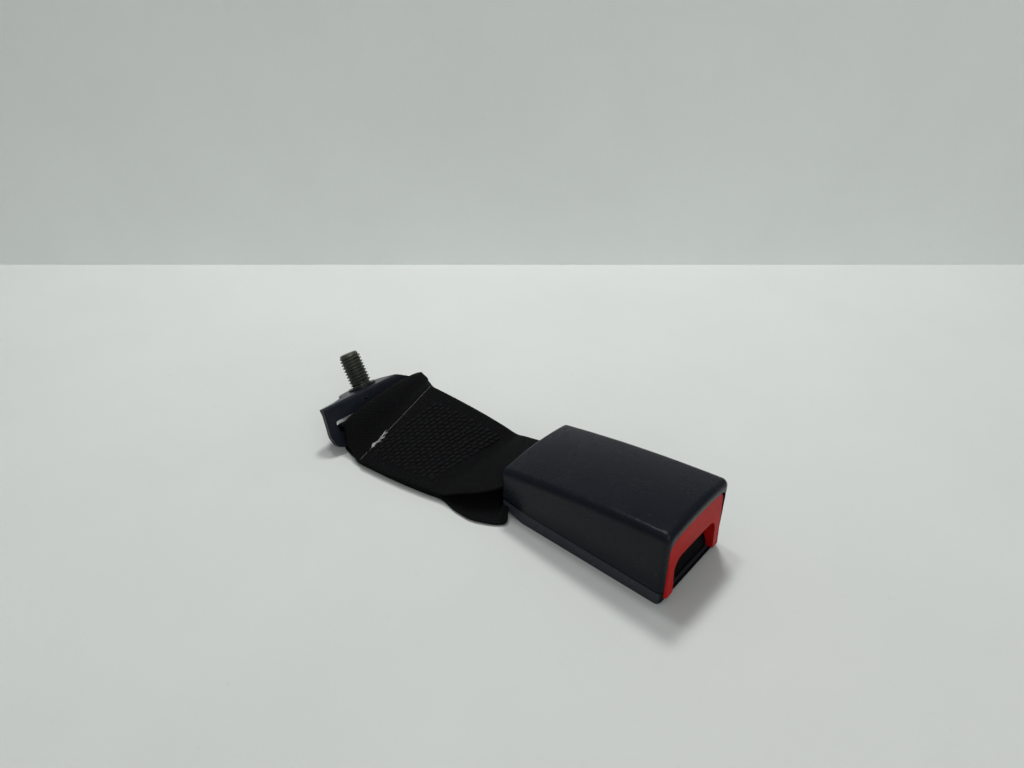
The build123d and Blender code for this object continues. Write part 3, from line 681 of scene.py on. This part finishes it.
def smooth_along(edges, count):
    """The edges as smooth curves by their mean chord length, and each row's distance along."""
    middle = edges.mean(axis=1)
    chord = np.linalg.norm(np.diff(middle, axis=0), axis=1)
    spread = np.linalg.norm(np.diff(edges, axis=0), axis=2).mean(axis=1)
    knots = np.concatenate([[0], np.cumsum((chord + spread) / 2)])
    at = np.linspace(0, knots[-1], count)
    curve = hermite(edges.reshape(len(edges), 6), knots, at)
    return curve.reshape(count, 2, 3), at


def sheet_normal(sheet):
    """Unit normals of a grid of points, from its differences along and across."""
    return unit(np.cross(np.gradient(sheet, axis=0), np.gradient(sheet, axis=1)))


def ribbon_grid(edges, at, thickness, width, bow, roll, lean):
    """Closed cross-sections: edge-to-edge lines raised by two arches, then thickened.

    The bow is the height of a parabola along the sheet's normal, and the roll that of half an
    ellipse that points mostly up. The lean moves the near edge and dies away exponentially.
    """
    upward, lean_reach, thinnest, edge_crowding = 2.5, 0.042, 0.12, 0.35
    even = np.linspace(0, 1, WEB_POINTS)
    crowded = 0.5 - 0.5 * np.cos(np.pi * even)
    share = edge_crowding * crowded + (1 - edge_crowding) * even
    sheet = edges[:, :1] * (1 - share)[None, :, None] + edges[:, 1:] * share[None, :, None]
    crown = share * (1 - share)
    normal = sheet_normal(sheet)
    sheet = sheet + normal * (bow[:, None] * 4 * crown)[..., None]
    raised = unit(normal + upward * UP)
    sheet = sheet + raised * (roll[:, None] * 2 * np.sqrt(crown))[..., None]
    sheet = sheet + lean[:, None] * np.exp(-share / lean_reach)[None, :, None]
    normal = sheet_normal(sheet)
    rounded = np.clip(np.minimum(share, 1 - share) * width / (thickness * 0.5), 0, 1)
    half = thickness / 2 * np.sqrt(1 - (1 - rounded) ** 2)
    half = np.maximum(half, thickness * thinnest)
    top = sheet + normal * half[None, :, None]
    under = sheet - normal * half[None, :, None]
    grid = np.concatenate([top, under[:, ::-1]], axis=1)
    v = np.concatenate([share, share[::-1]]) * width * MM
    uv = np.stack(np.broadcast_arrays(at[:, None] * MM, v[None, :]), axis=-1)
    return grid, uv.reshape(-1, 2)


# ---------------------------------------------------------------- operators
class BUCKLE_OT_stage(bpy.types.Operator):
    """Pale floor and wall, soft lamps and the camera"""

    bl_idname = "buckle.stage"
    bl_label = "Floor, lamps and camera"

    def execute(self, context):
        settings = context.scene.buckle
        ground = plain_ground("pale_floor", settings.floor_colour)
        wall_paint = plain_ground("pale_wall", tone(settings.floor_colour, 1.55), 0.15)
        show_front_only(wall_paint)
        turn = np.radians(VIEW_TURN)
        view = np.array([-np.sin(turn), np.cos(turn), 0.0])
        side = np.array([view[1], -view[0], 0.0])
        foot = np.array([*EYE[:2], 0.0]) + view * WALL_AWAY
        span, reach, top = side * FLOOR_REACH, view * FLOOR_REACH, UP * WALL_HEIGHT
        floor = np.array(
            [foot - span + reach, foot + span + reach, foot + span - reach, foot - span - reach]
        )
        wall = np.array([foot - span, foot - span + top, foot + span + top, foot + span])
        for name, corners, material in (("floor", floor, ground), ("wall", wall, wall_paint)):
            mesh = bpy.data.meshes.new(name)
            mesh.from_pydata(corners.tolist(), [], [[3, 2, 1, 0]])
            piece = bpy.data.objects.new(name, mesh)
            piece.data.materials.append(material)
            context.collection.objects.link(piece)
            piece.visible_shadow = name == "floor"
        # each lamp's name, place, size, power and aim
        for name, place, size, energy, aim in (
            ("key", (-0.31, 0.34, 0.90), 0.17, 4.8, (-0.03, 0, 0)),
            ("edge", (-0.33, 0.06, 0.94), 0.12, 1.7, (0, -0.02, 0.02)),
            ("overhead", (0.0, -0.05, 1.25), 1.3, 2.1, (0, 0, 0)),
            ("front", (0.75, -0.40, 0.60), 0.7, 2.2, (0, 0, 0.01)),
        ):
            light = bpy.data.lights.new(name, "AREA")
            light.energy = energy
            light.size = size
            lamp = bpy.data.objects.new(name, light)
            context.collection.objects.link(lamp)
            lamp.location = place
            direction = Vector(aim) - Vector(place)
            lamp.rotation_euler = direction.to_track_quat("-Z", "Y").to_euler()
            lamp.visible_glossy = name != "key"
        world = bpy.data.worlds.new("soft_room")
        context.scene.world = world
        world.use_nodes = True
        background = world.node_tree.nodes["Background"]
        background.inputs["Color"].default_value = (0.93, 0.97, 1.0, 1.0)
        background.inputs["Strength"].default_value = 0.20
        camera = bpy.data.cameras.new("camera")
        camera.lens = LENS
        camera.sensor_width = SENSOR
        camera.clip_start = 0.01
        holder = bpy.data.objects.new("camera", camera)
        context.collection.objects.link(holder)
        holder.location = EYE
        holder.rotation_euler = (np.radians(VIEW_TILT), 0.0, turn)
        context.scene.camera = holder
        context.scene.view_settings.view_transform = "Standard"
        return {"FINISHED"}


class BUCKLE_OT_covers(bpy.types.Operator):
    """Finishes of the housing, the button and the plastic parts inside"""

    bl_idname = "buckle.covers"
    bl_label = "Housing and button"

    def execute(self, context):
        settings = context.scene.buckle
        # painted light: the lower cover's colour holds the floor's bounced light
        lower = settings.lower_colour_with_bounce
        dress("upper_cover", grained_plastic("cover_grain", settings.cover_colour))
        dress("lower_cover", grained_plastic("lower_cover_grain", lower, lip_shade=True))
        # node, material, colour, roughness, wear and shine
        for node, name, colour, rough, wear, shine in (
            ("press_button", "button_red", settings.button_colour, (0.30, 0.40), 0.12, 0.04),
            ("tongue_guide", "guide_black", (0.0018, 0.0018, 0.0020), (0.5, 0.6), 0, 0.04),
            ("webbing_guard", "guard_black", (0.005, 0.005, 0.0055), (0.45, 0.55), 0, 0.15),
            ("ejector", "acetal", (0.62, 0.61, 0.56), (0.38, 0.5), 0, 0.3),
            ("retaining_ring", "nylon_ring", (0.012, 0.012, 0.013), (0.35, 0.45), 0, 0.3),
        ):
            dress(node, satin_plastic(name, colour, rough, wear, shine))
        return {"FINISHED"}


class BUCKLE_OT_steel(bpy.types.Operator):
    """Finishes of the frame, latch, pin, release slider and anchor plate"""

    bl_idname = "buckle.steel"
    bl_label = "Steel parts"

    def execute(self, context):
        settings = context.scene.buckle
        # node, material, colour, roughness and how streaks stretch along each axis
        for node, name, colour, rough, brushed in (
            ("buckle_frame", "frame_zinc", (0.48, 0.48, 0.46), (0.3, 0.46), (0.15, 1, 1)),
            ("latch_plate", "latch_steel", (0.40, 0.40, 0.40), (0.28, 0.42), (1, 0.15, 1)),
            ("latch_pin", "pin_steel", (0.55, 0.55, 0.56), (0.2, 0.32), (1, 0.1, 1)),
            ("release_cam", "slider_zinc", (0.48, 0.48, 0.46), (0.3, 0.46), (0.15, 1, 1)),
        ):
            dress(node, plated_steel(name, colour, rough, brushed))
        dress("anchor_plate", coated_steel("anchor_coating", settings.plate_colour))
        return {"FINISHED"}


class BUCKLE_OT_webbing(bpy.types.Operator):
    """The webbing as one strip, from its cut end round both bars to its end between the layers"""

    bl_idname = "buckle.webbing"
    bl_label = "Webbing"

    def execute(self, context):
        settings = context.scene.buckle
        width = settings.web_width / MM
        edges, at = smooth_along(webbing_edges(width), WEB_ROWS)
        x = edges[:, :, 0].mean(axis=1)
        # heights and lengths of the free stretch's bow and of the fold over the anchor bar
        bow, fade, behind = 0.9, 8.0, -70.0
        roll, curl, curl_middle = 3.5, 5.4, 1.5
        before, roll_after, curl_after = 3.0, 7.0, 6.5
        # how far the lower layer's near edge swings out, and over what length. The swing carries
        # the dark webbing beside the buckle's rear corner, partly as the lower layer and partly as
        # a dark sheet standing in for the shadow there.
        swing_into_shade, swing_into_shade_length = 6.2, 6.5
        curl_way = np.array([-0.12, -0.06, -1.0])
        swing_into_shade_way = np.array([1.0, 0.3, 0.0])
        free = np.clip((FRONT_PLANK[0] - x) / -fade, 0, 1) * np.clip(-x / fade, 0, 1)
        crest = np.argmax(np.where(x < behind, edges[:, :, 2].mean(axis=1), 0))
        past = at - at[crest]
        off = past - curl_middle
        rolls = roll * np.exp(-((past / np.where(past < 0, before, roll_after)) ** 2))
        curls = curl * np.exp(-((off / np.where(off < 0, before, curl_after)) ** 2))
        lobe = np.argmin(np.linalg.norm(edges[:, 0] - LOBE, axis=1))
        swings_into_shade = swing_into_shade * np.exp(-(((at - at[lobe]) / swing_into_shade_length) ** 2))
        lean = curls[:, None] * curl_way + swings_into_shade[:, None] * swing_into_shade_way
        thickness = settings.web_thickness / MM
        grid, uv = ribbon_grid(edges, at, thickness, width, bow * free, rolls, lean)
        points, quads, ends = closed_grid(placed(grid))
        uv = np.concatenate([uv, uv[:1], uv[-1:]])
        strap = make_piece("webbing", points, quads, ends, uv)
        weave = belt_weave("belt_weave", settings.web_colour)
        finish_piece(strap, weave, "buckle", "webbing_strap", "webbing_strap")
        return {"FINISHED"}


def sew_stitches(rows, count, seed):
    """Rows of stitches over the sewn length, each an ellipsoid that wanders a little."""
    first, sewn, sunk = 6.0, 36.0, 0.02
    wander_across, wander_along, wander_size = 0.16, 0.09, 0.09
    step = sewn / count
    # half a stitch's length, width and height
    half = np.array([step * 0.47, 0.84, 0.52])
    row, place = np.meshgrid(np.arange(rows), np.arange(count), indexing="ij")
    across = first + step * (place + 0.5 * (row % 2)) + seed.normal(0, wander_across, row.shape)
    share = (row + seed.normal(0, wander_along, row.shape)) / (rows - 1)
    # the sewn field's ends: places along that slant a little across the webbing
    rear = -62.6 + 0.22 * (across - 12)
    fore = -30.8 + 0.17 * (across - 9)
    x = rear * (1 - share) + fore * share
    near, side, lift = plank_frame(x.ravel())
    centre = near + side * across.reshape(-1, 1) + lift * (3 * WEB - sunk)
    slant = unit(side + np.array([0.17, 0, 0]))
    ahead = np.cross(slant, lift)
    # rings of cos and sin of the polar angle, then the two poles, times half the sizes
    polar = np.linspace(0, np.pi, STITCH_RINGS + 2)[1:-1]
    turn = np.linspace(0, 2 * np.pi, STITCH_SIDES, endpoint=False)
    ring = np.sin(polar)[:, None]
    long = np.repeat(-np.cos(polar)[:, None], STITCH_SIDES, axis=1)
    shape = np.stack([long, ring * np.cos(turn), ring * np.sin(turn)], axis=-1).reshape(-1, 3)
    shape = np.concatenate([shape, [[-1, 0, 0], [1, 0, 0]]]) * half
    basis = np.stack([slant, ahead, lift], axis=1)
    size = 1 + seed.normal(0, wander_size, (len(centre), 1, 1))
    points = centre[:, None] + np.einsum("pk,nkj->npj", shape, basis) * size
    quads, caps = ring_faces(STITCH_RINGS, STITCH_SIDES)
    faces = [repeated(part, len(centre), len(shape)) for part in (quads, caps)]
    return make_piece("stitches", placed(points.reshape(-1, 3)), *faces)


def seal_cut_end(seed):
    """The cut end's sealed edge: a thin wire that wanders a little along the end."""
    start, length = 0.6, 46.2
    before, sunk, drift = 0.05, 0.10, 0.6
    across = start + length * np.linspace(0, 1, EDGE_POINTS)
    near, side, lift = plank_frame(np.full(EDGE_POINTS, CUT_END - before))
    path = near + side * across[:, None] + lift * (3 * WEB - sunk)
    wander = np.cumsum(seed.normal(0, 0.035, (EDGE_POINTS, 1)), axis=0)
    path = path + wander * np.array([[1.0, 0, 0.2]]) * drift
    grid = wire_grid(path, lift, 0.08 + 0.05 * seed.random(EDGE_POINTS), EDGE_SIDES)
    return make_piece("cut_edge", *closed_grid(placed(grid)))


def fray_cut_end(threads, seed):
    """Frayed threads: short wires that leave the cut end's near part at shallow angles."""
    radius, above, straight, arch = 0.055, 0.02, 0.8, 0.6
    forward_way = np.array([1.0, 0, 0])
    start = 7.6 + 9.0 * seed.random(threads) ** 0.9
    length = 0.9 + 1.9 * seed.random(threads)
    t = np.linspace(0, 1, FRAY_POINTS)
    near, side, lift = plank_frame(np.full(threads, CUT_END))
    origin = near + side * start[:, None] + lift * (3 * WEB + above)
    heading = side + forward_way * seed.normal(0.05, 0.45, (threads, 1))
    curl = lift * (0.15 + 0.25 * seed.random((threads, 1)))
    path = origin[:, None] + heading[:, None] * (length[:, None] * t)[..., None] * straight
    path = path + curl[:, None] * np.sin(np.pi * t)[None, :, None] * arch
    path = path + forward_way * seed.normal(0, 0.25, (threads, 1, 1))
    forward = unit(np.gradient(path, axis=1))
    across = unit(np.cross(forward, lift[:, None]))[:, :, None]
    other = np.cross(forward, across[:, :, 0])[:, :, None]
    turn = np.linspace(0, 2 * np.pi, FRAY_SIDES, endpoint=False)[None, None, :, None]
    grid = path[:, :, None] + radius * (np.cos(turn) * across + np.sin(turn) * other)
    middle = np.stack([grid[:, 0].mean(axis=1), grid[:, -1].mean(axis=1)], axis=1)
    points = np.concatenate([grid.reshape(threads, -1, 3), middle], axis=1)
    quads, ends = ring_faces(FRAY_POINTS, FRAY_SIDES)
    faces = [repeated(part, threads, points.shape[1]) for part in (quads, ends)]
    return make_piece("frayed_threads", placed(points.reshape(-1, 3)), *faces)


class BUCKLE_OT_stitches(bpy.types.Operator):
    """Rows of stitches, the cut end's sealed edge and its frayed threads"""

    bl_idname = "buckle.stitches"
    bl_label = "Stitches and cut end"

    def execute(self, context):
        settings = context.scene.buckle
        seed = np.random.default_rng(7)
        stitches = sew_stitches(settings.stitch_rows, settings.stitches_in_row, seed)
        yarn = thread_yarn("stitch_thread", tone(settings.web_colour, 1.25))
        finish_piece(stitches, yarn, "buckle", "strap_stitching", "strap_stitching")
        edge = seal_cut_end(seed)
        pale = thread_yarn("sealed_edge", (0.14, 0.14, 0.13))
        finish_piece(edge, pale, "buckle", "webbing_strap")
        fray = fray_cut_end(40, seed)
        white = thread_yarn("bare_threads", (0.62, 0.62, 0.60))
        finish_piece(fray, white, "buckle", "webbing_strap")
        return {"FINISHED"}


class BUCKLE_OT_springs(bpy.types.Operator):
    """The two return springs, the latch spring and the ejector spring as coils of wire"""

    bl_idname = "buckle.springs"
    bl_label = "Springs"

    def execute(self, context):
        wire = context.scene.buckle.wire_diameter / MM
        steel = plated_steel("spring_wire", (0.45, 0.45, 0.46), (0.25, 0.38))
        # each coil's start, direction, length, outer radius, wire and turns
        apart = 16.2
        near = closed_grid(coil_grid((54.0, apart, 14.0), (1, 0, 0), 17.0, 1.5, wire, 12))
        grid = coil_grid((54.0, -apart, 14.0), (1, 0, 0), 17.0, 1.5, wire, 12)
        parts = (near, closed_grid(grid, len(near[0])))
        points, quads, ends = (np.concatenate([part[k] for part in parts]) for k in range(3))
        piece = make_piece("button_spring_coils", placed(points), quads, ends)
        finish_piece(piece, steel, "buckle", "button_springs", "button_springs")
        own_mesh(piece)
        grid = coil_grid((42.0, 0, 17.3), (0, 0, 1), 7.7, 2.7, wire, 5)
        points, quads, ends = closed_grid(grid)
        piece = make_piece("latch_spring_coil", placed(points), quads, ends)
        finish_piece(piece, steel, "buckle", "latch_spring", "latch_spring")
        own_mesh(piece)
        grid = coil_grid((21.5, 0, 12.0), (1, 0, 0), 22.5, 1.4, wire, 17)
        points, quads, ends = closed_grid(grid)
        piece = make_piece("ejector_spring_coil", placed(points), quads, ends)
        finish_piece(piece, steel, "buckle", "ejector_spring", "ejector_spring")
        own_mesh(piece)
        return {"FINISHED"}


class BUCKLE_OT_bolt(bpy.types.Operator):
    """The anchor bolt with its rolled thread, flange and hexagon head"""

    bl_idname = "buckle.bolt"
    bl_label = "Anchor bolt"

    def execute(self, context):
        settings = context.scene.buckle
        pitch = settings.thread_pitch / MM
        depth = settings.thread_depth / MM
        # radii: thread's crest, neck, flange's rim, half the head across its flats, and its cone's
        crest, neck_radius, rim_radius, flat, cone_radius = 5.0, 4.7, 9.3, 7.0, 6.5
        # heights over the plate's bolt leg: the head's end and top, flange's under side, neck's top
        head_end, head_top, flange_top, neck_top = -10.0, -4.58, -2.61, 1.19
        flange_mid, thread_start, taper_start, dome_start = -3.6, 1.2, 15.0, 17.0
        head = np.array([head_end, -9.98, -9.75, -9.4, -9.0, -6.5, -4.75, -4.62, -4.6])
        flange = np.array([-4.55, -4.35, -4.1, -3.1, -2.8, -2.62])
        neck = np.array([-2.6, -2.4, 0.6, 1.15])
        thread = np.arange(thread_start, taper_start + 0.05, pitch / THREAD_STEPS)
        tip = np.linspace(taper_start + 0.1, dome_start, 14)
        z = np.concatenate([head, flange, neck, thread, tip, [17.12, 17.19, 17.2]])
        turn = np.linspace(0, 2 * np.pi, BOLT_SIDES, endpoint=False)
        height, angle = np.meshgrid(z, turn, indexing="ij")
        # hexagon: flats over the cosine of the angle from each flat's middle, cut by a cone
        hexagon = flat / np.cos((angle + np.pi / 6) % (np.pi / 3) - np.pi / 6)
        cone = cone_radius + np.clip((height - head_end) / 0.9, 0, 1) * 1.6
        hexagon = np.minimum(hexagon, cone)
        # thread: crest less depth times a trapezoid wave of height over pitch less share of turn
        phase = (height / pitch - angle / (2 * np.pi)) % 1.0
        wave = np.clip((np.abs(2 * phase - 1) - 0.14) / 0.70, 0, 1)
        fade = np.clip((height - thread_start) / (0.9 * pitch), 0, 1)
        screw = crest - depth * (1 - wave * fade)
        # end: a cone, then a shallow dome; rim: rounded off towards both its faces
        taper = crest - np.clip(height - taper_start, 0, None) * (1.2 / 2.2)
        dome = 3.8 - 0.55 * np.clip((height - dome_start) / 0.2, 0, 1) ** 2
        screw = np.minimum(screw, np.where(height > dome_start, dome, taper))
        from_rim = np.abs(height - flange_mid)
        rim = rim_radius - 0.45 * np.clip((from_rim - 0.55) / 0.45, 0, 1) ** 2
        radius = np.where(height < flange_top, rim, neck_radius)
        radius = np.where(height < head_top, hexagon, radius)
        radius = np.where(height >= neck_top, screw, radius)
        side = np.cross(RISE, ALONG)
        grid = (
            BOLT_ORIGIN
            + (radius * np.cos(angle))[..., None] * ALONG
            + (radius * np.sin(angle))[..., None] * side
            + height[..., None] * RISE
        )
        points, quads, ends = closed_grid(placed(grid))
        bolt = make_piece("bolt", points, quads, ends, angle=32)
        plating = olive_plating("olive_zinc", settings.bolt_colour)
        finish_piece(bolt, plating, "bolt", "anchor_bolt", "anchor_bolt")
        return {"FINISHED"}


class BUCKLE_PT_panel(bpy.types.Panel):
    """Lists the pieces and the settings"""

    bl_label = "Seat belt buckle"
    bl_idname = "BUCKLE_PT_panel"
    bl_space_type = "VIEW_3D"
    bl_region_type = "UI"
    bl_category = "Buckle"

    def draw(self, context):
        for step in STEPS:
            self.layout.operator(step.bl_idname)
        for name in BuckleSettings.__annotations__:
            self.layout.prop(context.scene.buckle, name)


STEPS = (
    BUCKLE_OT_stage,
    BUCKLE_OT_covers,
    BUCKLE_OT_steel,
    BUCKLE_OT_webbing,
    BUCKLE_OT_stitches,
    BUCKLE_OT_springs,
    BUCKLE_OT_bolt,
)


def register():
    """Registers the settings, operators and panel."""
    for item in (BuckleSettings, *STEPS, BUCKLE_PT_panel):
        bpy.utils.register_class(item)
    bpy.types.Scene.buckle = PointerProperty(type=BuckleSettings)


def unregister():
    """Takes the settings, operators and panel away."""
    del bpy.types.Scene.buckle
    for item in (BUCKLE_PT_panel, *STEPS[::-1], BuckleSettings):
        bpy.utils.unregister_class(item)


def main():
    """Builds the whole scene."""
    register()
    for step in STEPS:
        group, name = step.bl_idname.split(".")
        getattr(getattr(bpy.ops, group), name)()


if __name__ == "__main__":
    main()
